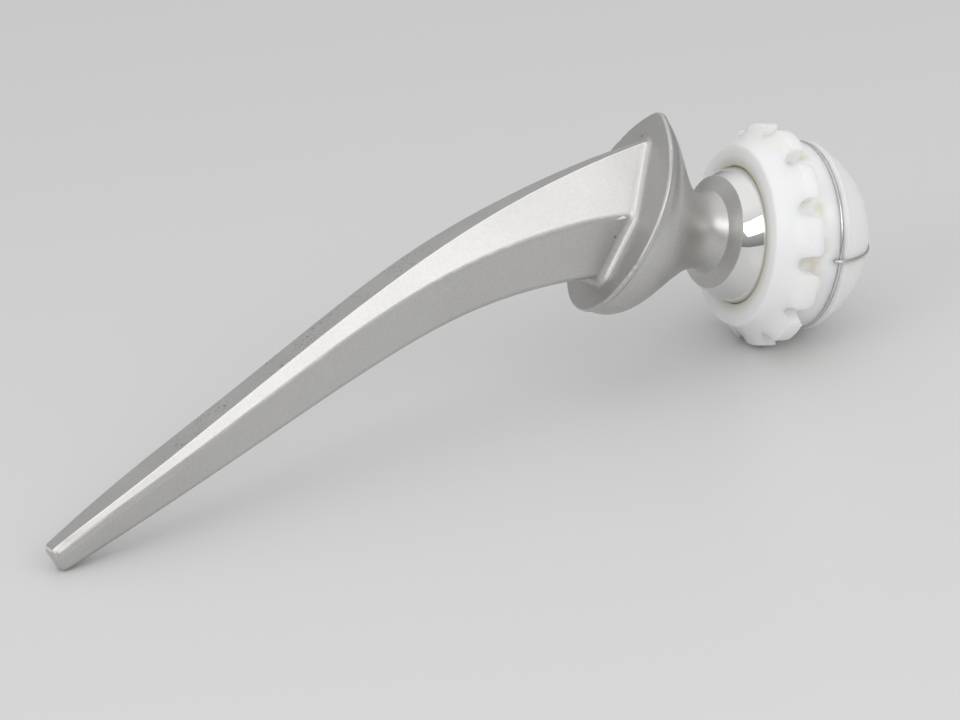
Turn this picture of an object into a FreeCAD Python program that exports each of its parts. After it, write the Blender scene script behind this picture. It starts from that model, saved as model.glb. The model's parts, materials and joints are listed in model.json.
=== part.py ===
"""Curved cemented hip stem with its lugged polyethylene cup.

The stem, collar, neck and head are one casting. The cup snaps over the head, just past the head's
equator, and carries two marker wires: a ring in a groove and a bow over the dome. The set lies as
it comes to rest, on the stem's tip and on two neighbouring lugs of the cup.

The stem's frame: head centre at the origin, X along the shaft towards the head, Y lateral, Z out of
the stem's plane of symmetry. The cup's frame: the same origin, X from the mouth to the dome's apex.
"""
import FreeCAD, Part
import math
import os
import Sketcher

# Driving dimensions in millimetres and degrees. A depth is measured from the head's centre: along
# the shaft for the stem, along the neck for the neck, along the cup's axis for the cup.
SIZES = [
    ("head_radius", 16.0),
    ("undercut_depth", 9.2),
    ("neck_top_depth", 10.9),
    ("neck_top_radius", 9.6),
    ("waist_depth", 14.4),
    ("waist_radius", 8.7),
    ("neck_shaft_angle", 141.0),
    ("flare_middle", 0.45),
    ("flare_swell", 0.97),

    ("shaft_offset", 38.2),
    ("tip_depth", 176.0),
    ("point_length", 18.0),
    ("point_turn_in", 0.4),
    ("bend_depth", 92.0),
    ("bend_thickness", 13.85),
    ("shaft_taper", 2.4),
    ("lateral_radius", 236.0),
    ("medial_radius", 120.0),
    ("narrowing_depth", 70.0),
    ("tip_lateral_width", 4.0),
    ("tip_ridge_width", 6.4),
    ("tip_medial_width", 4.0),
    ("low_lateral_width", 7.0),
    ("low_ridge_width", 8.9),
    ("low_medial_width", 5.2),
    ("bend_lateral_width", 7.6),
    ("bend_ridge_width", 11.3),
    ("bend_medial_width", 9.0),
    ("collar_lateral_width", 3.2),
    ("collar_ridge_width", 15.6),
    ("collar_medial_width", 10.8),
    ("tip_ridge_share", 0.25),
    ("bend_ridge_share", 0.29),
    ("collar_ridge_share", 0.44),
    ("lateral_edge_rounding", 0.3),
    ("ridge_rounding", 2.5),
    ("medial_edge_rounding", 1.4),
    ("tip_rounding", 1.5),

    ("collar_slant", 54.7),
    ("collar_depth", 34.4),
    ("collar_thickness", 1.5),
    ("collar_lateral_reach", 17.6),
    ("collar_medial_reach", 30.5),
    ("collar_lateral_end", 5.0),
    ("collar_medial_end", 12.0),
    ("collar_side_radius", 27.6),
    ("collar_rim_rounding", 0.6),
    ("collar_ledge", 0.7),
    ("seat_fillet", 2.0),

    ("socket_clearance", 0.15),
    ("mouth_depth", 3.0),
    ("mouth_bevel", 0.3),
    ("mouth_radius", 21.0),
    ("sweep_radius", 9.0),
    ("crest_radius", 25.7),
    ("crest_depth", 3.0),
    ("lug_back_depth", 6.6),
    ("wall_front_radius", 21.0),
    ("wall_back_radius", 22.0),
    ("ring_depth", 13.5),
    ("shoulder_depth", 15.2),
    ("shoulder_step", 0.3),
    ("dome_depth", 29.0),
    ("dome_radius", 24.1),
    ("lug_count", 12.0),
    ("notch_width", 4.6),
    ("notch_length", 5.0),
    ("notch_floor_rise", 0.15),
    ("lug_rounding", 1.5),
    ("mouth_rounding", 0.6),

    ("wire_radius", 0.4),
    ("wire_clearance", 0.05),
    ("ring_sink", 0.15),
    ("bow_end_depth", 12.2),
    ("bow_end_radius", 20.7),
    ("bow_end_bend", 0.9),
    ("bow_shoulder_bend", 4.0),
    ("bow_rise", 0.1),

    ("lean", 4.87),
    ("cup_dip", 13.4),
    ("cup_turn", 6.5),
]


class Size:
    """A number with the sheet's formula for it."""

    def __init__(self, value, text):
        self.value = value
        self.text = text

    def __add__(self, other):
        other = as_size(other)
        return Size(self.value + other.value, f"({self.text} + {other.text})")

    def __sub__(self, other):
        other = as_size(other)
        return Size(self.value - other.value, f"({self.text} - {other.text})")

    def __mul__(self, other):
        other = as_size(other)
        return Size(self.value * other.value, f"({self.text} * {other.text})")

    def __truediv__(self, other):
        other = as_size(other)
        return Size(self.value / other.value, f"({self.text} / {other.text})")

    def __neg__(self):
        return Size(-self.value, f"(0 - {self.text})")

    __radd__ = __add__
    __rmul__ = __mul__

    def __rsub__(self, other):
        return as_size(other) - self


def as_size(number):
    return number if isinstance(number, Size) else Size(float(number), str(number))


def sine(angle):
    return Size(math.sin(math.radians(angle.value)), f"sin({angle.text})")


def cosine(angle):
    return Size(math.cos(math.radians(angle.value)), f"cos({angle.text})")


def root(number):
    return Size(math.sqrt(number.value), f"sqrt({number.text})")


def leg(long_side, short_side):
    """Third side of a right triangle, from its longest side and one other."""
    return root(long_side * long_side - short_side * short_side)


def blend(start, finish, share):
    return start + (finish - start) * share


# Document and sheet
doc = FreeCAD.newDocument("hip_stem")
sheet = doc.addObject("Spreadsheet::Sheet", "Sizes")
size = {}
for row, (alias, number) in enumerate(SIZES, start=1):
    sheet.set(f"A{row}", alias)
    sheet.set(f"B{row}", str(number))
    sheet.setAlias(f"B{row}", alias)
    size[alias] = Size(number, f"Sizes.{alias}")
doc.recompute()

# Sizes that follow from the driving ones
neck_slant = 180 - size["neck_shaft_angle"]
collar_top_depth = size["collar_depth"] - size["collar_thickness"]
socket_radius = size["head_radius"] + size["socket_clearance"]
groove_radius = size["wire_radius"] + size["wire_clearance"]
dome_centre = size["dome_depth"] - size["dome_radius"]
bow_radius = size["dome_radius"] + size["bow_rise"]

# Sketch and feature helpers
EVERY_WAY = 400.0
NEAR = 0.05
ZERO = Size(0.0, "0")


def vector(x, y, z):
    return FreeCAD.Vector(x.value, y.value, z.value)


def new_body(name):
    body = doc.addObject("PartDesign::Body", name)
    body.Label = name
    return body


def add_sketch(body, name, role, base=(ZERO, ZERO, ZERO), axis=(0, 0, 1), angle=ZERO):
    """A sketch on one of the body's origin planes, moved and turned in that plane's own axes."""
    sketch = body.newObject("Sketcher::SketchObject", name)
    plane = next(item for item in body.Origin.OriginFeatures if item.Role == role)
    sketch.AttachmentSupport = (plane, [""])
    sketch.MapMode = "FlatFace"
    turn = FreeCAD.Rotation(FreeCAD.Vector(*axis), angle.value)
    sketch.AttachmentOffset = FreeCAD.Placement(vector(*base), turn)
    for letter, place in zip("xyz", base):
        if place is not ZERO:
            sketch.setExpression(f"AttachmentOffset.Base.{letter}", place.text)
    if angle is not ZERO:
        sketch.setExpression("AttachmentOffset.Rotation.Angle", angle.text)
    return sketch


def bind(sketch, constraint, number):
    index = sketch.addConstraint(constraint)
    sketch.setExpression(f"Constraints[{index}]", number.text)


def fix_point(sketch, geometry, end, x, y):
    """Ties a point to its place from the sketch's origin, or to an axis where that is zero."""
    if x is ZERO:
        sketch.addConstraint(Sketcher.Constraint("PointOnObject", geometry, end, -2))
    else:
        bind(sketch, Sketcher.Constraint("DistanceX", -1, 1, geometry, end, x.value), x)
    if y is ZERO:
        sketch.addConstraint(Sketcher.Constraint("PointOnObject", geometry, end, -1))
    else:
        bind(sketch, Sketcher.Constraint("DistanceY", -1, 1, geometry, end, y.value), y)


def arc_through(start, finish, radius, turn):
    """Arc from start to finish. turn is 1 where it bends left and -1 where it bends right."""
    chord = finish - start
    height = math.sqrt(max(radius ** 2 - (chord.Length / 2) ** 2, 0.0))
    left = FreeCAD.Vector(-chord.y, chord.x, 0).normalize()
    centre = (start + finish) / 2 + left * height * turn
    first, last = (start, finish) if turn > 0 else (finish, start)
    angles = [math.atan2(point.y - centre.y, point.x - centre.x) for point in (first, last)]
    circle = Part.Circle(centre, FreeCAD.Vector(0, 0, 1), radius)
    return Part.ArcOfCircle(circle, *angles)


def draw_outline(sketch, corners, arcs=None, closed=True):
    """Lines from corner to corner. arcs gives (radius, turn) for each stretch that is an arc."""
    arcs = arcs or {}
    count = len(corners) if closed else len(corners) - 1
    ends = []
    for index in range(count):
        start = vector(*corners[index], ZERO)
        finish = vector(*corners[(index + 1) % len(corners)], ZERO)
        if index in arcs:
            radius, turn = arcs[index]
            sketch.addGeometry(arc_through(start, finish, radius.value, turn))
            ends.append((1, 2) if turn > 0 else (2, 1))
        else:
            sketch.addGeometry(Part.LineSegment(start, finish))
            ends.append((1, 2))
    for index in range(1, count):
        meet = Sketcher.Constraint("Coincident", index - 1, ends[index - 1][1], index, ends[index][0])
        sketch.addConstraint(meet)
    if closed:
        sketch.addConstraint(Sketcher.Constraint("Coincident", count - 1, ends[-1][1], 0, ends[0][0]))
    for index in range(count):
        fix_point(sketch, index, ends[index][0], *corners[index])
    if not closed:
        fix_point(sketch, count - 1, ends[-1][1], *corners[-1])
    for index, (radius, turn) in arcs.items():
        bind(sketch, Sketcher.Constraint("Radius", index, radius.value), radius)


def draw_circle(sketch, radius, x=ZERO, y=ZERO):
    sketch.addGeometry(Part.Circle(vector(x, y, ZERO), FreeCAD.Vector(0, 0, 1), radius.value))
    fix_point(sketch, 0, 3, x, y)
    bind(sketch, Sketcher.Constraint("Radius", 0, radius.value), radius)


def loft(body, name, sections, ruled=False):
    feature = body.newObject("PartDesign::AdditiveLoft", name)
    feature.Profile = sections[0]
    feature.Sections = sections[1:]
    feature.Ruled = ruled
    feature.Closed = False
    return feature


def round_edges(body, name, radius, choose):
    """Fillet on the edges that choose picks from the body's shape so far."""
    doc.recompute()
    base = body.Tip
    chosen = choose(base.Shape)
    names = [f"Edge{index}" for index, edge in enumerate(base.Shape.Edges, start=1)
             if any(edge.isSame(pick) for pick in chosen)]
    feature = body.newObject("PartDesign::Fillet", name)
    feature.Base = (base, names)
    feature.Radius = radius.value
    feature.setExpression("Radius", radius.text)
    return feature


# Stem, one casting: shaft, collar, neck and head
stem = new_body("femoral_stem")
station_depths = {
    "tip": size["tip_depth"],
    "point": size["tip_depth"] - size["point_length"] / 3,
    "low": size["tip_depth"] - size["point_length"],
    "shaft": (size["tip_depth"] - size["point_length"] + size["bend_depth"]) / 2,
    "bend": size["bend_depth"],
    "narrowing": size["narrowing_depth"],
    "upper": size["narrowing_depth"] * 0.75,
    "hook": size["narrowing_depth"] * 0.5,
    "under_collar": size["narrowing_depth"] * 0.3,
    "inside_collar": size["narrowing_depth"] * 0.1,
}
collar_middle_depth = size["collar_depth"] * cosine(size["collar_slant"])


def edge_places(depth):
    """Lateral and medial edge of the shaft at one depth, across from the head's centre."""
    half = size["bend_thickness"] / 2
    if depth.value >= size["bend_depth"].value:
        slope = sine(size["shaft_taper"]) / cosine(size["shaft_taper"])
        half = half - slope * (depth - size["bend_depth"])
        start_of_point = size["tip_depth"] - size["point_length"]
        if depth.value > start_of_point.value:
            share = (depth - start_of_point) / size["point_length"]
            half = half - size["point_turn_in"] * share * share
        return size["shaft_offset"] + half, size["shaft_offset"] - half
    beyond = size["bend_depth"] - depth
    across = size["lateral_radius"] * sine(size["shaft_taper"])
    drop = size["lateral_radius"] * cosine(size["shaft_taper"])
    lateral = size["shaft_offset"] + half - drop + leg(size["lateral_radius"], beyond - across)
    across = size["medial_radius"] * sine(size["shaft_taper"])
    drop = size["medial_radius"] * cosine(size["shaft_taper"])
    medial = size["shaft_offset"] - half - drop + leg(size["medial_radius"], beyond + across)
    return lateral, medial


def between(depth, known):
    """Value at one depth on the straight lines through known, a list of (depth, value)."""
    for (deep, low), (shallow, high) in zip(known, known[1:]):
        if depth.value >= shallow.value or shallow is known[-1][0]:
            if depth is deep:
                return low
            if depth is shallow:
                return high
            return blend(low, high, (deep - depth) / (deep - shallow))


def shaft_section(name, depth):
    """Six-sided section of the shaft, widest at the two ridges."""
    tip, low, bend = (station_depths[key] for key in ("tip", "low", "bend"))
    lateral, medial = edge_places(depth)
    lateral_half = between(depth, [
        (tip, size["tip_lateral_width"]), (low, size["low_lateral_width"]),
        (bend, size["bend_lateral_width"]), (station_depths["narrowing"], size["bend_lateral_width"]),
        (station_depths["under_collar"], size["collar_lateral_width"])]) / 2
    ridge_half = between(depth, [
        (tip, size["tip_ridge_width"]), (low, size["low_ridge_width"]),
        (bend, size["bend_ridge_width"]), (collar_middle_depth, size["collar_ridge_width"])]) / 2
    medial_half = between(depth, [
        (tip, size["tip_medial_width"]), (low, size["low_medial_width"]),
        (bend, size["bend_medial_width"]), (collar_middle_depth, size["collar_medial_width"])]) / 2
    share = between(depth, [
        (tip, size["tip_ridge_share"]), (bend, size["bend_ridge_share"]),
        (collar_middle_depth, size["collar_ridge_share"])])
    ridge = blend(lateral, medial, share)
    sketch = add_sketch(stem, f"section_{name}", "YZ_Plane", base=(ZERO, ZERO, -depth))
    draw_outline(sketch, [
        (lateral, lateral_half), (ridge, ridge_half), (medial, medial_half),
        (medial, -medial_half), (ridge, -ridge_half), (lateral, -lateral_half)])
    return sketch


def collar_frame(depth, slant, name):
    """Sketch across the ball-to-stem direction, at a depth and a slant against the shaft."""
    base = (depth * sine(slant), ZERO, -(depth * cosine(slant)))
    return add_sketch(stem, name, "YZ_Plane", base=base, axis=(0, -1, 0), angle=slant)


def draw_egg(sketch, lateral_reach, medial_reach, lateral_end, medial_end, side):
    """Four tangent arcs, symmetric about the sketch's x axis: two ends and two long sides."""
    front = lateral_reach - lateral_end
    back = medial_end - medial_reach
    span = front.value - back.value
    to_front = side.value - lateral_end.value
    to_back = side.value - medial_end.value
    across = back.value + (to_back ** 2 - to_front ** 2 + span ** 2) / (2 * span)
    down = math.sqrt(to_back ** 2 - (across - back.value) ** 2)
    front_angle = math.atan2(down, front.value - across)
    back_angle = math.atan2(down, back.value - across)
    arcs = [
        (front.value, 0.0, lateral_end, -front_angle, front_angle),
        (across, -down, side, front_angle, back_angle),
        (back.value, 0.0, medial_end, back_angle, 2 * math.pi - back_angle),
        (across, down, side, -back_angle, -front_angle)]
    for index, (x, y, radius, start, finish) in enumerate(arcs):
        circle = Part.Circle(FreeCAD.Vector(x, y, 0), FreeCAD.Vector(0, 0, 1), radius.value)
        sketch.addGeometry(Part.ArcOfCircle(circle, start, finish))
    for index in range(4):
        sketch.addConstraint(Sketcher.Constraint("Tangent", index, 2, (index + 1) % 4, 1))
    for index, (x, y, radius, start, finish) in enumerate(arcs):
        bind(sketch, Sketcher.Constraint("Radius", index, radius.value), radius)
    for index, place in ((0, front), (2, back)):
        sketch.addConstraint(Sketcher.Constraint("PointOnObject", index, 3, -1))
        bind(sketch, Sketcher.Constraint("DistanceX", -1, 1, index, 3, place.value), place)


def draw_ring_of_arcs(sketch, radius):
    """A circle in four arcs, which part where the arcs of the collar's outline do."""
    corner_angles = [-28.0, 28.0, 136.0, 224.0, 332.0]
    for start, finish in zip(corner_angles, corner_angles[1:]):
        circle = Part.Circle(FreeCAD.Vector(), FreeCAD.Vector(0, 0, 1), radius.value)
        sketch.addGeometry(Part.ArcOfCircle(circle, math.radians(start), math.radians(finish)))
    for index in range(4):
        meet = "Coincident" if index < 3 else "Horizontal"
        sketch.addConstraint(Sketcher.Constraint(meet, index, 2, (index + 1) % 4, 1))
        sketch.addConstraint(Sketcher.Constraint("Coincident", index, 3, -1, 1))
    bind(sketch, Sketcher.Constraint("Radius", 0, radius.value), radius)
    for index, angle in enumerate(corner_angles[:4]):
        height = radius * sine(as_size(angle))
        bind(sketch, Sketcher.Constraint("DistanceY", -1, 1, index, 1, height.value), height)


shaft_sections = [shaft_section(name, depth) for name, depth in station_depths.items()]
loft(stem, "shaft", shaft_sections)
doc.recompute()
volume_before = stem.Shape.Volume

# The shaft ends inside the collar's plate
trim_depth = size["collar_depth"] - size["collar_thickness"] / 2
trim_sketch = collar_frame(trim_depth, size["collar_slant"], "trim_outline")
draw_circle(trim_sketch, Size(EVERY_WAY, str(EVERY_WAY)))
trim = stem.newObject("PartDesign::Pocket", "trim")
trim.Profile = trim_sketch
trim.Type = "ThroughAll"
trim.Reversed = True
doc.recompute()


def long_edges(key):
    """The shaft's long edges that pass the bend at the width that one size gives."""
    def wanted(edge):
        if edge.BoundBox.XLength < size["bend_depth"].value:
            return False
        near = min(edge.discretize(200), key=lambda point: abs(point.x + size["bend_depth"].value))
        return abs(abs(near.z) - size[key].value / 2) < NEAR
    return lambda shape: [edge for edge in shape.Edges if wanted(edge)]


def tip_edges(shape):
    return [edge for edge in shape.Edges if edge.BoundBox.XMax < NEAR - size["tip_depth"].value]


round_edges(stem, "tip_roundings", size["tip_rounding"], tip_edges)
round_edges(stem, "ridge_roundings", size["ridge_rounding"], long_edges("bend_ridge_width"))
round_edges(stem, "medial_roundings", size["medial_edge_rounding"], long_edges("bend_medial_width"))
round_edges(stem, "lateral_roundings", size["lateral_edge_rounding"], long_edges("bend_lateral_width"))

# Collar, drawn on its underside and raised towards the head
collar_sketch = collar_frame(size["collar_depth"], size["collar_slant"], "collar_outline")
collar_ends = [size[key] for key in (
    "collar_lateral_reach", "collar_medial_reach", "collar_lateral_end", "collar_medial_end",
    "collar_side_radius")]
draw_egg(collar_sketch, *collar_ends)
collar = stem.newObject("PartDesign::Pad", "collar")
collar.Profile = collar_sketch
collar.Length = size["collar_thickness"].value
collar.setExpression("Length", size["collar_thickness"].text)


def collar_face(shape, depth):
    """The collar's flat side at one depth from the head's centre."""
    slant = math.radians(size["collar_slant"].value)
    normal = FreeCAD.Vector(-math.cos(slant), math.sin(slant), 0)
    for face in shape.Faces:
        flat = isinstance(face.Surface, Part.Plane) and abs(face.Surface.Axis.dot(normal)) > 1 - 1e-6
        if flat and abs(face.Surface.Position.dot(normal) - depth.value) < NEAR:
            return face


def seat_edges(shape):
    face = collar_face(shape, size["collar_depth"])
    return [edge for wire in face.Wires if not wire.isSame(face.OuterWire) for edge in wire.Edges]


def rim_edges(shape):
    faces = [collar_face(shape, depth) for depth in (size["collar_depth"], collar_top_depth)]
    return [edge for face in faces for edge in face.OuterWire.Edges]


round_edges(stem, "seat_fillets", size["seat_fillet"], seat_edges)

# Neck, flaring into the collar through sections that turn and shift from one to the other
circle_sections = []
for name, depth, radius in (
        ("neck_top", size["neck_top_depth"], size["neck_top_radius"]),
        ("waist", size["waist_depth"], size["waist_radius"])):
    circle_sections.append(collar_frame(depth, neck_slant, name))
    draw_ring_of_arcs(circle_sections[-1], radius)
waist = size["waist_radius"]
flare_sections = []
for name, share, swell in (("flare_middle_outline", size["flare_middle"], size["flare_swell"]),
                           ("flare_foot_outline", as_size(1), as_size(1))):
    ends = [blend(waist, end, share * swell) for end in collar_ends]
    ends = [end - size["collar_ledge"] * share for end in ends]
    sketch = collar_frame(blend(size["waist_depth"], collar_top_depth, share),
                          blend(neck_slant, size["collar_slant"], share), name)
    draw_egg(sketch, *ends)
    flare_sections.append(sketch)
loft(stem, "neck", circle_sections + flare_sections)

# Head, drawn along the neck from its far pole to the neck's end
head_sketch = add_sketch(stem, "head_outline", "XY_Plane", angle=size["neck_shaft_angle"])
draw_outline(head_sketch, [
    (-size["head_radius"], ZERO),
    (size["undercut_depth"], leg(size["head_radius"], size["undercut_depth"])),
    (size["neck_top_depth"], size["neck_top_radius"]),
    (size["neck_top_depth"], ZERO)], arcs={0: (size["head_radius"], -1)})
head = stem.newObject("PartDesign::Revolution", "head")
head.Profile = head_sketch
head.ReferenceAxis = (head_sketch, ["H_Axis"])
head.Angle = 360.0
round_edges(stem, "rim_roundings", size["collar_rim_rounding"], rim_edges)

# Cup, turned about its axis: mouth, lugs, wall, dome, and the socket back to the mouth
cup = new_body("acetabular_cup")
lip_depth = size["mouth_depth"] - size["mouth_bevel"]
lip_radius = leg(socket_radius, lip_depth)
dome_start_radius = size["wall_back_radius"] - size["shoulder_step"]
dome_start_depth = dome_centre + leg(size["dome_radius"], dome_start_radius)
cup_sketch = add_sketch(cup, "cup_outline", "XY_Plane")
draw_outline(cup_sketch, [
    (-size["mouth_depth"], lip_radius + size["mouth_bevel"]),
    (-size["mouth_depth"], size["mouth_radius"]),
    (size["crest_depth"], size["crest_radius"]),
    (size["lug_back_depth"], size["crest_radius"]),
    (size["lug_back_depth"], size["wall_front_radius"]),
    (size["shoulder_depth"], size["wall_back_radius"]),
    (dome_start_depth, dome_start_radius),
    (size["dome_depth"], ZERO),
    (socket_radius, ZERO),
    (-lip_depth, lip_radius)],
    arcs={1: (size["sweep_radius"], 1), 6: (size["dome_radius"], -1), 8: (socket_radius, 1)})
turned = cup.newObject("PartDesign::Revolution", "turned_cup")
turned.Profile = cup_sketch
turned.ReferenceAxis = (cup_sketch, ["H_Axis"])
turned.Angle = 360.0

notch_front = size["lug_back_depth"] - size["notch_length"] + size["notch_width"] / 2
notch_back = size["lug_back_depth"] + size["notch_floor_rise"]
notch_floor = size["wall_front_radius"] + size["notch_floor_rise"]
notch_half = size["notch_width"] / 2
notch_sketch = add_sketch(cup, "notch_outline", "XY_Plane", base=(ZERO, ZERO, -notch_floor))
draw_outline(notch_sketch, [
    (notch_back, notch_half), (notch_front, notch_half), (notch_front - notch_half, ZERO),
    (notch_front, -notch_half), (notch_back, -notch_half)],
    arcs={1: (notch_half, 1), 2: (notch_half, 1)})
notch = cup.newObject("PartDesign::Pocket", "notch")
notch.Profile = notch_sketch
notch.Type = "ThroughAll"
notches = cup.newObject("PartDesign::PolarPattern", "notches")
notches.Originals = [notch]
notches.Axis = (next(item for item in cup.Origin.OriginFeatures if item.Role == "X_Axis"), [""])
notches.Angle = 360.0
notches.Occurrences = round(size["lug_count"].value)
notches.setExpression("Occurrences", size["lug_count"].text)
cup.Tip = notches


def lug_corners(shape):
    """Edges where the notches' sides meet the flat back of the lugs."""
    corners = []
    for edge in shape.Edges:
        place = edge.CenterOfMass
        at_back = abs(place.x - size["lug_back_depth"].value) < NEAR
        out = math.hypot(place.y, place.z) - (notch_floor.value + size["crest_radius"].value) / 2
        if at_back and isinstance(edge.Curve, Part.Line) and out > -size["notch_width"].value / 4:
            corners.append(edge)
    return corners


def mouth_edges(shape):
    """Outer edge of the mouth's face."""
    edges = []
    for edge in shape.Edges:
        box = edge.BoundBox
        at_mouth = abs(box.XMin + size["mouth_depth"].value) + box.XLength < NEAR
        if at_mouth and box.ZMax > size["mouth_radius"].value - NEAR:
            edges.append(edge)
    return edges


round_edges(cup, "lug_roundings", size["lug_rounding"], lug_corners)
round_edges(cup, "mouth_rounding", size["mouth_rounding"], mouth_edges)

# Grooves and wires: a ring round the wall and a bow over the dome
ring_radius = size["wall_back_radius"] - size["wire_radius"] - size["ring_sink"]
straddle_radius = ring_radius + 2 * size["wire_radius"] + size["wire_clearance"]


def turn_ring(body, name, kind, radius):
    """The ring's round section, turned about the cup's axis."""
    sketch = add_sketch(body, f"{name}_section", "XY_Plane")
    draw_circle(sketch, radius, size["ring_depth"], ring_radius)
    feature = body.newObject(kind, name)
    feature.Profile = sketch
    feature.ReferenceAxis = (sketch, ["H_Axis"])
    feature.Angle = 360.0
    return feature


def sweep_bow(body, name, kind, radius, end_radius):
    """A round section swept from the wall, past the ring, over the dome and down to the wall."""
    shoulder = size["bow_shoulder_bend"]
    reach = leg(bow_radius - shoulder, straddle_radius - shoulder)
    stretch = bow_radius / (bow_radius - shoulder)
    near_side = [
        (size["bow_end_depth"], end_radius),
        (size["bow_end_depth"], straddle_radius - size["bow_end_bend"]),
        (size["bow_end_depth"] + size["bow_end_bend"], straddle_radius),
        (dome_centre + reach, straddle_radius),
        (dome_centre + reach * stretch, (straddle_radius - shoulder) * stretch)]
    corners = [(x, -y) for x, y in near_side] + near_side[::-1]
    end_bend = (size["bow_end_bend"], 1)
    path = add_sketch(body, f"{name}_path", "XY_Plane")
    draw_outline(path, corners, closed=False, arcs={
        1: end_bend, 3: (shoulder, 1), 4: (bow_radius, 1), 5: (shoulder, 1), 7: end_bend})
    section = add_sketch(body, f"{name}_section", "XZ_Plane", base=(ZERO, ZERO, end_radius))
    draw_circle(section, radius, size["bow_end_depth"], ZERO)
    feature = body.newObject(kind, name)
    feature.Profile = section
    feature.Spine = (path, [f"Edge{index}" for index in range(1, len(corners))])
    return feature


turn_ring(cup, "ring_groove", "PartDesign::Groove", groove_radius)
sweep_bow(cup, "bow_groove", "PartDesign::SubtractivePipe", groove_radius,
          size["bow_end_radius"] - size["wire_clearance"])
ring_wire = new_body("ring_marker_wire")
turn_ring(ring_wire, "ring", "PartDesign::Revolution", size["wire_radius"])
bow_wire = new_body("dome_marker_wire")
sweep_bow(bow_wire, "bow", "PartDesign::AdditivePipe", size["wire_radius"], size["bow_end_radius"])
doc.recompute()

# At rest: the cup on two lugs beside its lowest notch, the stem on its tip
cup_turn = FreeCAD.Rotation(-size["cup_turn"].value, size["cup_dip"].value, 0)
lean_turn = FreeCAD.Rotation(FreeCAD.Vector(1, 0, 0), 90 - size["lean"].value)
FINE = 0.03
stem_points = stem.Shape.tessellate(FINE)[0]
cup_points = cup.Shape.tessellate(FINE)[0]


def stem_turn(pitch):
    return lean_turn * FreeCAD.Rotation(FreeCAD.Vector(0, 0, 1), pitch)


def lowest(points, turn):
    return min(turn.multVec(point).z for point in points)


head_height = -lowest(cup_points, cup_turn)
level, steep = 0.0, 60.0
for attempt in range(40):
    pitch = (level + steep) / 2
    if lowest(stem_points, stem_turn(pitch)) > -head_height:
        level = pitch
    else:
        steep = pitch
placed_points = [stem_turn(pitch).multVec(point) for point in stem_points]
placed_points += [cup_turn.multVec(point) for point in cup_points]
across_x = [point.x for point in placed_points]
across_y = [point.y for point in placed_points]
head_centre = FreeCAD.Vector(-(min(across_x) + max(across_x)) / 2,
                             -(min(across_y) + max(across_y)) / 2, head_height)
stem.Placement = FreeCAD.Placement(head_centre, stem_turn(pitch))
for body in (cup, ring_wire, bow_wire):
    body.Placement = FreeCAD.Placement(head_centre, cup_turn)
doc.recompute()
print("pitch", pitch, "head centre", head_centre)

# Check and write
sub_parts = (stem, cup, ring_wire, bow_wire)
for item in doc.Objects:
    if "Invalid" in item.State or "Error" in item.State:
        raise RuntimeError(f"{item.Name} is {item.State}: {item.getStatusString()}")
os.makedirs("parts", exist_ok=True)
for body in sub_parts:
    if body.Shape.isNull() or not body.Shape.isValid():
        raise RuntimeError(f"{body.Label} has no valid shape")
for body in sub_parts:
    body.Shape.exportStep(f"parts/{body.Label}.step")
    print(body.Label, round(body.Shape.Volume, 1), body.Shape.BoundBox)
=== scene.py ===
"""Looks of the curved hip stem with its lugged cup: finishes, floor, light and camera."""
import json
import math

import bpy
from mathutils import Matrix, Vector

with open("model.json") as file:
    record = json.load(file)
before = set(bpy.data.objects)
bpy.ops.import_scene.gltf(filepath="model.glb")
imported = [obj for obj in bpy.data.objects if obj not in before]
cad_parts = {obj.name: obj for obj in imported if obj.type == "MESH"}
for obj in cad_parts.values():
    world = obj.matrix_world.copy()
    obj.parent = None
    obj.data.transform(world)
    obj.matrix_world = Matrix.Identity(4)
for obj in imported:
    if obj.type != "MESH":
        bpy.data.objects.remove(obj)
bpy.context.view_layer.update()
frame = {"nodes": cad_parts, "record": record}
nodes = frame["nodes"]
joint = frame["record"]["behaviour"]["joints"][0]
HEAD = Vector(joint["pos_m"])
MM = 0.001
CLOUD_SPREAD = (0.3, 0.7)

# Directions that the finishes follow, from the head's centre
mounts = {mount["name"]: mount for mount in frame["record"]["mounts"]}
SEAT_DIRECTION = Vector(mounts["collar_seat"]["axis"])
SHAFT_DIRECTION = Vector(mounts["shaft_in_canal"]["axis"])
CUP_AXIS = Vector(mounts["cup_in_socket"]["axis"])
LATERAL_DIRECTION = Vector(joint["axis"]).cross(-SHAFT_DIRECTION)
NECK_ANGLE = math.radians(39.0)
NECK_DIRECTION = SHAFT_DIRECTION * math.cos(NECK_ANGLE) + LATERAL_DIRECTION * math.sin(NECK_ANGLE)

# Zones of the casting: depths from the head's centre, heights over the collar's underside
UNDERCUT_DEPTH = 9.25 * MM
COLLAR_DEPTH = 34.4 * MM
BLASTED_LEAD = 2.2 * MM
FOOT_HEIGHTS = (0.20 * MM, 0.38 * MM)
# Heights over the collar's underside across which the painted edge highlight fades in
EDGE_HIGHLIGHT_HEIGHTS = (0.4 * MM, 1.2 * MM)
PITTED_START = (66 * MM, 78 * MM)
PITTED_END = (150 * MM, 132 * MM)
# Centres, radii and grey of two painted spots of shade
SHADE_SPOTS = (Vector((37.66, -5.30, 37.73)) * MM, Vector((53.41, 5.67, 54.91)) * MM)
SHADE_SPOT_RADII = (0.45 * MM, 0.2 * MM)
SHADE_SPOT_GREY = 0.12

# How far a surface faces the lateral side, from 0 to 1, on its flat and on its rounded edges
LATERAL_FACE = (0.86, 0.93)
LATERAL_EDGE_SIDE = (0.56, 0.64)
LATERAL_EDGE_TOP = (0.90, 0.80)
# Roughness under the painted highlight on the lateral edges
EDGE_HIGHLIGHT_ROUGHNESS = 0.5

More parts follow.
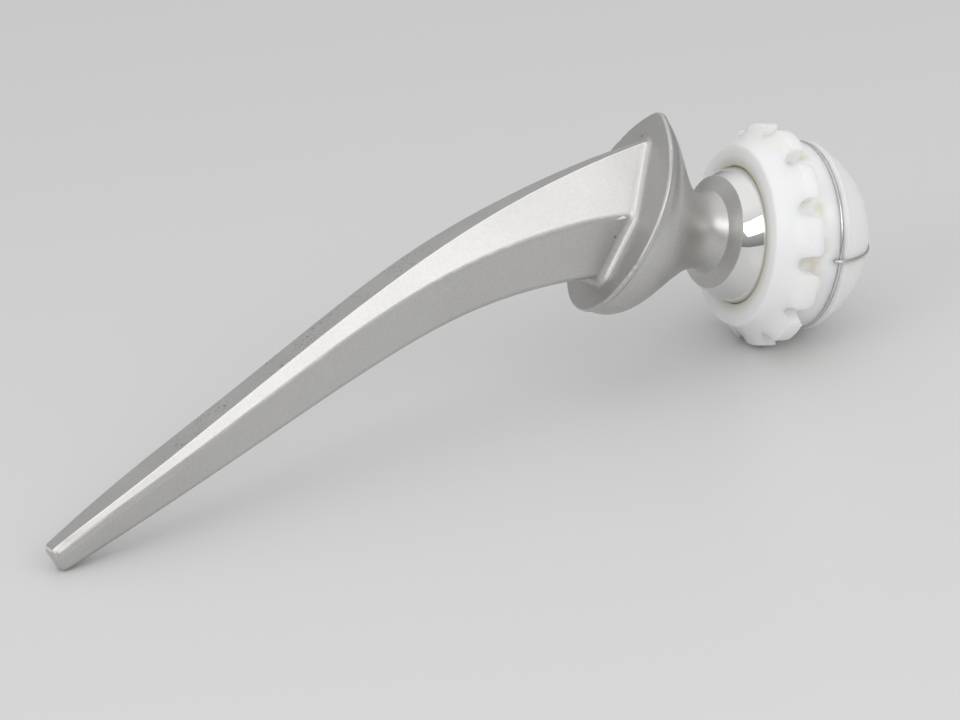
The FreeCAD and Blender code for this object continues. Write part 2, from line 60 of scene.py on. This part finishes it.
# Zones of the cup: radii round its axis and depths from the head's centre
MOUTH_RADII = (18.6 * MM, 16.2 * MM)
MOUTH_DEPTHS = (0.0, -2.0 * MM)
NOTCH_RADII = (22.4 * MM, 21.2 * MM)
NOTCH_FRONT_DEPTHS = (1.0 * MM, 3.0 * MM)
NOTCH_BACK_DEPTHS = (11.0 * MM, 8.5 * MM)
FINE_TURNING = 0.33 * MM
BROAD_TURNING = 1.9 * MM
TURNING_WANDER = 0.4 * MM

# Colours of the steel, the plastic and the wires
STEEL_DARK = (0.53, 0.523, 0.508, 1.0)
STEEL_LIGHT = (0.575, 0.57, 0.56, 1.0)
STEEL_SPECKLE = (0.66, 0.655, 0.645, 1.0)
STEEL_PIT = (0.10, 0.098, 0.092, 1.0)
# Near-white colour of the painted highlight on the lateral edges
STEEL_EDGE_HIGHLIGHT = (0.98, 0.975, 0.965, 1.0)
STEEL_MIRROR = (0.80, 0.795, 0.785, 1.0)
PLASTIC_CLEAR = (0.94, 0.945, 0.935, 1.0)
PLASTIC_CLOUDY = (0.91, 0.91, 0.885, 1.0)
PLASTIC_AT_MOUTH = (0.74, 0.69, 0.54, 1.0)
PLASTIC_STAIN = (0.68, 0.63, 0.50, 1.0)
WIRE_DULL = (0.62, 0.61, 0.59, 1.0)
WIRE_BRIGHT = (0.72, 0.715, 0.70, 1.0)

# Floor and light
FLOOR_HALF = 3.0
FLOOR_GREY = 0.70
FLOOR_ROUGHNESS = 0.4
SKY_LOW, SKY_HIGH = 0.22, 0.95
SKY_HIGH_SINE = 0.9
LIT_PLACE = (0.0, 0.0, 0.03)
SOFT_LIGHTS = (
    ("key", (0.14, -0.95, 0.62), (1.3, 0.5), 3.5),
    ("side", (-0.95, -0.25, 0.50), (0.8, 0.5), 2.2),
)

# Camera, from the floor under the head's centre
CAMERA_PLACE = Vector((-382.4, -623.5, 301.2)) * MM
CAMERA_AZIMUTH = math.radians(63.52)
CAMERA_ELEVATION = math.radians(-22.25)
CAMERA_ROLL = math.radians(6.84)
CAMERA_LENS = 126.29
CAMERA_SENSOR = 36.0
CAMERA_NEAR = 0.05


class Nodes:
    """Short ways to build one material's node tree."""

    def __init__(self, name):
        self.material = bpy.data.materials.new(name)
        self.material.use_nodes = True
        self.tree = self.material.node_tree
        self.shader = self.tree.nodes["Principled BSDF"]
        self.place = self.add("ShaderNodeTexCoord").outputs["Object"]

    def add(self, kind, **settings):
        node = self.tree.nodes.new(kind)
        for key, value in settings.items():
            setattr(node, key, value)
        return node

    def link(self, value, socket):
        """Joins an output to a socket, or sets the socket to a plain value."""
        if isinstance(value, bpy.types.NodeSocket):
            self.tree.links.new(value, socket)
        else:
            socket.default_value = value

    def math(self, operation, first, second=0.0):
        node = self.add("ShaderNodeMath", operation=operation)
        self.link(first, node.inputs[0])
        self.link(second, node.inputs[1])
        return node.outputs[0]

    def vector(self, operation, first, second=(0, 0, 0)):
        node = self.add("ShaderNodeVectorMath", operation=operation)
        self.link(first, node.inputs[0])
        self.link(second, node.inputs[1])
        return node.outputs["Value" if operation in ("DOT_PRODUCT", "LENGTH") else "Vector"]

    def depth_along(self, direction):
        """Distance of a point from the head's centre along one direction, in metres."""
        return self.vector("DOT_PRODUCT", self.vector("SUBTRACT", self.place, HEAD), direction)

    def ramp(self, value, low, high, start=0.0, finish=1.0):
        node = self.add("ShaderNodeMapRange")
        for index, item in enumerate((value, low, high, start, finish)):
            self.link(item, node.inputs[index])
        return node.outputs[0]

    def noise(self, scale, detail=2.0, roughness=0.5, stretch=None):
        place = self.place
        if stretch is not None:
            place = self.vector("MULTIPLY", place, stretch)
        node = self.add("ShaderNodeTexNoise")
        self.link(place, node.inputs["Vector"])
        node.inputs["Scale"].default_value = scale
        node.inputs["Detail"].default_value = detail
        node.inputs["Roughness"].default_value = roughness
        return node.outputs["Fac"]

    def mix(self, share, first, second):
        node = self.add("ShaderNodeMix", data_type="FLOAT")
        self.link(share, node.inputs[0])
        self.link(first, node.inputs[2])
        self.link(second, node.inputs[3])
        return node.outputs[0]

    def mix_colour(self, share, first, second):
        node = self.add("ShaderNodeMix", data_type="RGBA")
        self.link(share, node.inputs[0])
        self.link(first, node.inputs[6])
        self.link(second, node.inputs[7])
        return node.outputs[2]

    def bump(self, height, strength, distance, normal=None):
        node = self.add("ShaderNodeBump")
        self.link(height, node.inputs["Height"])
        node.inputs["Strength"].default_value = strength
        node.inputs["Distance"].default_value = distance
        if normal is not None:
            self.link(normal, node.inputs["Normal"])
        return node.outputs["Normal"]

    def set(self, **inputs):
        for name, value in inputs.items():
            self.link(value, self.shader.inputs[name.replace("_", " ")])


def grey(value):
    return (value, value, value, 1.0)


def implant_steel():
    """Fine-blasted casting, satin on the neck, mirror polished on the ball."""
    paint = Nodes("implant_steel")
    neck_depth = paint.depth_along(NECK_DIRECTION)
    on_ball = paint.math("LESS_THAN", neck_depth, UNDERCUT_DEPTH)
    seat_depth = paint.depth_along(SEAT_DIRECTION)
    blasted = paint.ramp(seat_depth, COLLAR_DEPTH - BLASTED_LEAD, COLLAR_DEPTH)

    # Fine grain everywhere but on the ball, coarser cloudiness over it
    grain = paint.noise(scale=1900.0, detail=2.0, roughness=0.55)
    cloud = paint.noise(scale=45.0, detail=4.0, roughness=0.55)
    satin = paint.ramp(cloud, *CLOUD_SPREAD, start=0.35, finish=0.41)
    roughness = paint.mix(blasted, satin, paint.ramp(cloud, *CLOUD_SPREAD, start=0.38, finish=0.44))
    colour = paint.mix_colour(paint.ramp(cloud, *CLOUD_SPREAD), STEEL_DARK, STEEL_LIGHT)
    speckle = paint.math("MULTIPLY", paint.ramp(grain, 0.38, 0.62), 0.35)
    colour = paint.mix_colour(speckle, colour, STEEL_SPECKLE)

    # Dark pits in patches along the lateral face
    normal = paint.add("ShaderNodeNewGeometry").outputs["Normal"]
    facing = paint.vector("DOT_PRODUCT", normal, LATERAL_DIRECTION)
    lateral = paint.ramp(facing, *LATERAL_FACE)
    along = paint.depth_along(SHAFT_DIRECTION)
    patch = paint.ramp(paint.noise(scale=160.0, detail=1.0), low=0.46, high=0.58)
    pits = paint.noise(scale=2100.0, detail=2.0, stretch=(0.6, 1.0, 1.0))
    pits = paint.ramp(pits, low=0.40, high=0.35)
    reach = paint.math("MULTIPLY", paint.ramp(along, *PITTED_START), paint.ramp(along, *PITTED_END))
    pits = paint.math("MULTIPLY", paint.math("MULTIPLY", pits, patch), paint.math("MULTIPLY", lateral, reach))
    colour = paint.mix_colour(paint.math("MULTIPLY", pits, 0.75), colour, STEEL_PIT)

    # Two painted spots of shade, beside the shaft's foot and on the collar's underside
    for spot in SHADE_SPOTS:
        distance = paint.vector("LENGTH", paint.vector("SUBTRACT", paint.place, spot))
        share = paint.ramp(distance, *SHADE_SPOT_RADII, start=0.0, finish=0.6)
        colour = paint.mix_colour(share, colour, grey(SHADE_SPOT_GREY))

    # Painted highlight: the crisp lateral edges painted near white and rougher
    below_collar = paint.ramp(seat_depth, *(COLLAR_DEPTH + height for height in EDGE_HIGHLIGHT_HEIGHTS))
    above_side = paint.ramp(facing, *LATERAL_EDGE_SIDE)
    below_top = paint.ramp(facing, *LATERAL_EDGE_TOP)
    wear_and_edge_highlight = paint.math("MULTIPLY", paint.math("MULTIPLY", above_side, below_top), below_collar)
    colour = paint.mix_colour(wear_and_edge_highlight, colour, STEEL_EDGE_HIGHLIGHT)
    roughness = paint.mix(wear_and_edge_highlight, roughness, EDGE_HIGHLIGHT_ROUGHNESS)

    # Bright line where the shaft's foot stands on the collar
    foot = paint.ramp(seat_depth, *(COLLAR_DEPTH + height for height in FOOT_HEIGHTS))

    # Mirror polish with faint scratches on the ball
    colour = paint.mix_colour(on_ball, colour, STEEL_MIRROR)
    scratches = paint.noise(scale=420.0, detail=4.0, roughness=0.7, stretch=(1.0, 0.12, 1.0))
    scratches = paint.ramp(scratches, low=0.40, high=0.75)
    ball_roughness = paint.ramp(scratches, 0.0, 1.0, start=0.03, finish=0.075)
    paint.set(Metallic=1.0, Base_Color=colour, Roughness=paint.mix(on_ball, roughness, ball_roughness))
    relief = paint.math("SUBTRACT", grain, paint.math("MULTIPLY", pits, 4.0))
    relief = paint.math("MULTIPLY", relief, paint.math("SUBTRACT", 1.0, on_ball))
    grained = paint.bump(relief, strength=0.22, distance=0.03 * MM)
    paint.set(Normal=paint.bump(foot, strength=0.55, distance=0.2 * MM, normal=grained))
    return paint.material


def polyethylene():
    """Milky plastic that light sinks into, turned on a lathe, tinted at the mouth and in the notches."""
    paint = Nodes("polyethylene")
    depth = paint.depth_along(CUP_AXIS)
    offset = paint.vector("SUBTRACT", paint.place, HEAD)
    along = paint.vector("SCALE", CUP_AXIS)
    paint.link(depth, along.node.inputs["Scale"])
    radius = paint.vector("LENGTH", paint.vector("SUBTRACT", offset, along))

    cloud = paint.noise(scale=70.0, detail=3.0, roughness=0.55)
    colour = paint.mix_colour(paint.ramp(cloud, low=0.40, high=0.70), PLASTIC_CLEAR, PLASTIC_CLOUDY)
    mouth = paint.math("MULTIPLY", paint.ramp(radius, *MOUTH_RADII), paint.ramp(depth, *MOUTH_DEPTHS))
    colour = paint.mix_colour(paint.math("MULTIPLY", mouth, 0.75), colour, PLASTIC_AT_MOUTH)
    low = paint.math("MULTIPLY", paint.ramp(radius, *NOTCH_RADII), paint.ramp(depth, *NOTCH_FRONT_DEPTHS))
    in_notch = paint.math("MULTIPLY", low, paint.ramp(depth, *NOTCH_BACK_DEPTHS))
    patch = paint.ramp(paint.noise(scale=210.0, detail=2.0), low=0.46, high=0.66)
    stain = paint.math("MULTIPLY", in_notch, patch)
    colour = paint.mix_colour(paint.math("MULTIPLY", stain, 0.6), colour, PLASTIC_STAIN)

    paint.set(Base_Color=colour, Roughness=paint.ramp(cloud, *CLOUD_SPREAD, start=0.30, finish=0.40))
    paint.shader.subsurface_method = "RANDOM_WALK"
    paint.shader.inputs["Subsurface Weight"].default_value = 0.9
    paint.shader.inputs["Subsurface Radius"].default_value = (1.0, 0.92, 0.74)
    paint.shader.inputs["Subsurface Scale"].default_value = 5.0 * MM
    paint.shader.inputs["IOR"].default_value = 1.50

    # Tool marks round the axis, uneven from one to the next
    wander = paint.math("MULTIPLY", paint.noise(scale=30.0), TURNING_WANDER)
    step = paint.math("ADD", paint.math("ADD", depth, radius), wander)
    fine = paint.math("SINE", paint.math("MULTIPLY", step, 2 * math.pi / FINE_TURNING))
    broad = paint.math("SINE", paint.math("MULTIPLY", step, 2 * math.pi / BROAD_TURNING))
    relief = paint.math("ADD", fine, paint.math("MULTIPLY", broad, 1.5))
    paint.set(Normal=paint.bump(relief, strength=0.25, distance=0.012 * MM))
    return paint.material


def marker_steel():
    """Drawn steel wire with faint rubbed patches."""
    paint = Nodes("marker_steel")
    wear_and_edge_highlight = paint.ramp(paint.noise(scale=700.0, detail=3.0), low=0.35, high=0.65)
    paint.set(Metallic=1.0, Base_Color=paint.mix_colour(wear_and_edge_highlight, WIRE_DULL, WIRE_BRIGHT))
    paint.set(Roughness=paint.ramp(wear_and_edge_highlight, 0.0, 1.0, start=0.24, finish=0.13))
    return paint.material


def finish_node(name, material):
    obj = nodes[name]
    obj.data.materials.clear()
    obj.data.materials.append(material)
    for polygon in obj.data.polygons:
        polygon.material_index = 0


def pale_floor():
    """Wide pale sheet under the set."""
    mesh = bpy.data.meshes.new("floor")
    corners = [(x * FLOOR_HALF, y * FLOOR_HALF, 0) for x, y in ((-1, -1), (1, -1), (1, 1), (-1, 1))]
    mesh.from_pydata(corners, [], [(0, 1, 2, 3)])
    floor = bpy.data.objects.new("floor", mesh)
    bpy.context.scene.collection.objects.link(floor)
    paint = Nodes("floor_paper")
    paint.set(Base_Color=grey(FLOOR_GREY), Roughness=FLOOR_ROUGHNESS)
    mesh.materials.append(paint.material)


def soft_light(name, place, size, power):
    light = bpy.data.lights.new(name, "AREA")
    light.shape = "RECTANGLE"
    light.size, light.size_y = size
    light.energy = power
    lamp = bpy.data.objects.new(name, light)
    bpy.context.scene.collection.objects.link(lamp)
    lamp.location = place
    lamp.rotation_euler = (Vector(LIT_PLACE) - Vector(place)).to_track_quat("-Z", "Y").to_euler()


def studio():
    """Even light that fades towards the horizon, with a large soft box and a smaller one beside it."""
    world = bpy.data.worlds.new("studio")
    bpy.context.scene.world = world
    world.use_nodes = True
    tree = world.node_tree
    direction = tree.nodes.new("ShaderNodeTexCoord").outputs["Generated"]
    split = tree.nodes.new("ShaderNodeSeparateXYZ")
    fade = tree.nodes.new("ShaderNodeMapRange")
    fade.inputs["From Min"].default_value = 0.0
    fade.inputs["From Max"].default_value = SKY_HIGH_SINE
    fade.inputs["To Min"].default_value = SKY_LOW
    fade.inputs["To Max"].default_value = SKY_HIGH
    tree.links.new(direction, split.inputs[0])
    tree.links.new(split.outputs["Z"], fade.inputs["Value"])
    tree.links.new(fade.outputs[0], tree.nodes["Background"].inputs["Strength"])
    tree.nodes["Background"].inputs["Color"].default_value = grey(1.0)
    for name, place, size, power in SOFT_LIGHTS:
        soft_light(name, place, size, power)


def photo_camera():
    """Camera where the photograph's stood."""
    data = bpy.data.cameras.new("camera")
    data.lens = CAMERA_LENS
    data.sensor_width = CAMERA_SENSOR
    data.sensor_fit = "HORIZONTAL"
    data.clip_start = CAMERA_NEAR
    camera = bpy.data.objects.new("camera", data)
    bpy.context.scene.collection.objects.link(camera)
    level = math.cos(CAMERA_ELEVATION)
    forward = Vector((level * math.cos(CAMERA_AZIMUTH), level * math.sin(CAMERA_AZIMUTH),
                      math.sin(CAMERA_ELEVATION)))
    right = forward.cross(Vector((0, 0, 1))).normalized()
    up = right.cross(forward)
    turned_right = right * math.cos(CAMERA_ROLL) - up * math.sin(CAMERA_ROLL)
    turned_up = right * math.sin(CAMERA_ROLL) + up * math.cos(CAMERA_ROLL)
    turn = Matrix((turned_right, turned_up, -forward)).transposed()
    camera.matrix_world = Matrix.Translation(CAMERA_PLACE + Vector((HEAD.x, HEAD.y, 0))) @ turn.to_4x4()
    bpy.context.scene.camera = camera


finish_node("femoral_stem", implant_steel())
finish_node("acetabular_cup", polyethylene())
wire_finish = marker_steel()
finish_node("ring_marker_wire", wire_finish)
finish_node("dome_marker_wire", wire_finish)
pale_floor()
studio()
photo_camera()
bpy.context.scene.view_settings.view_transform = "Standard"
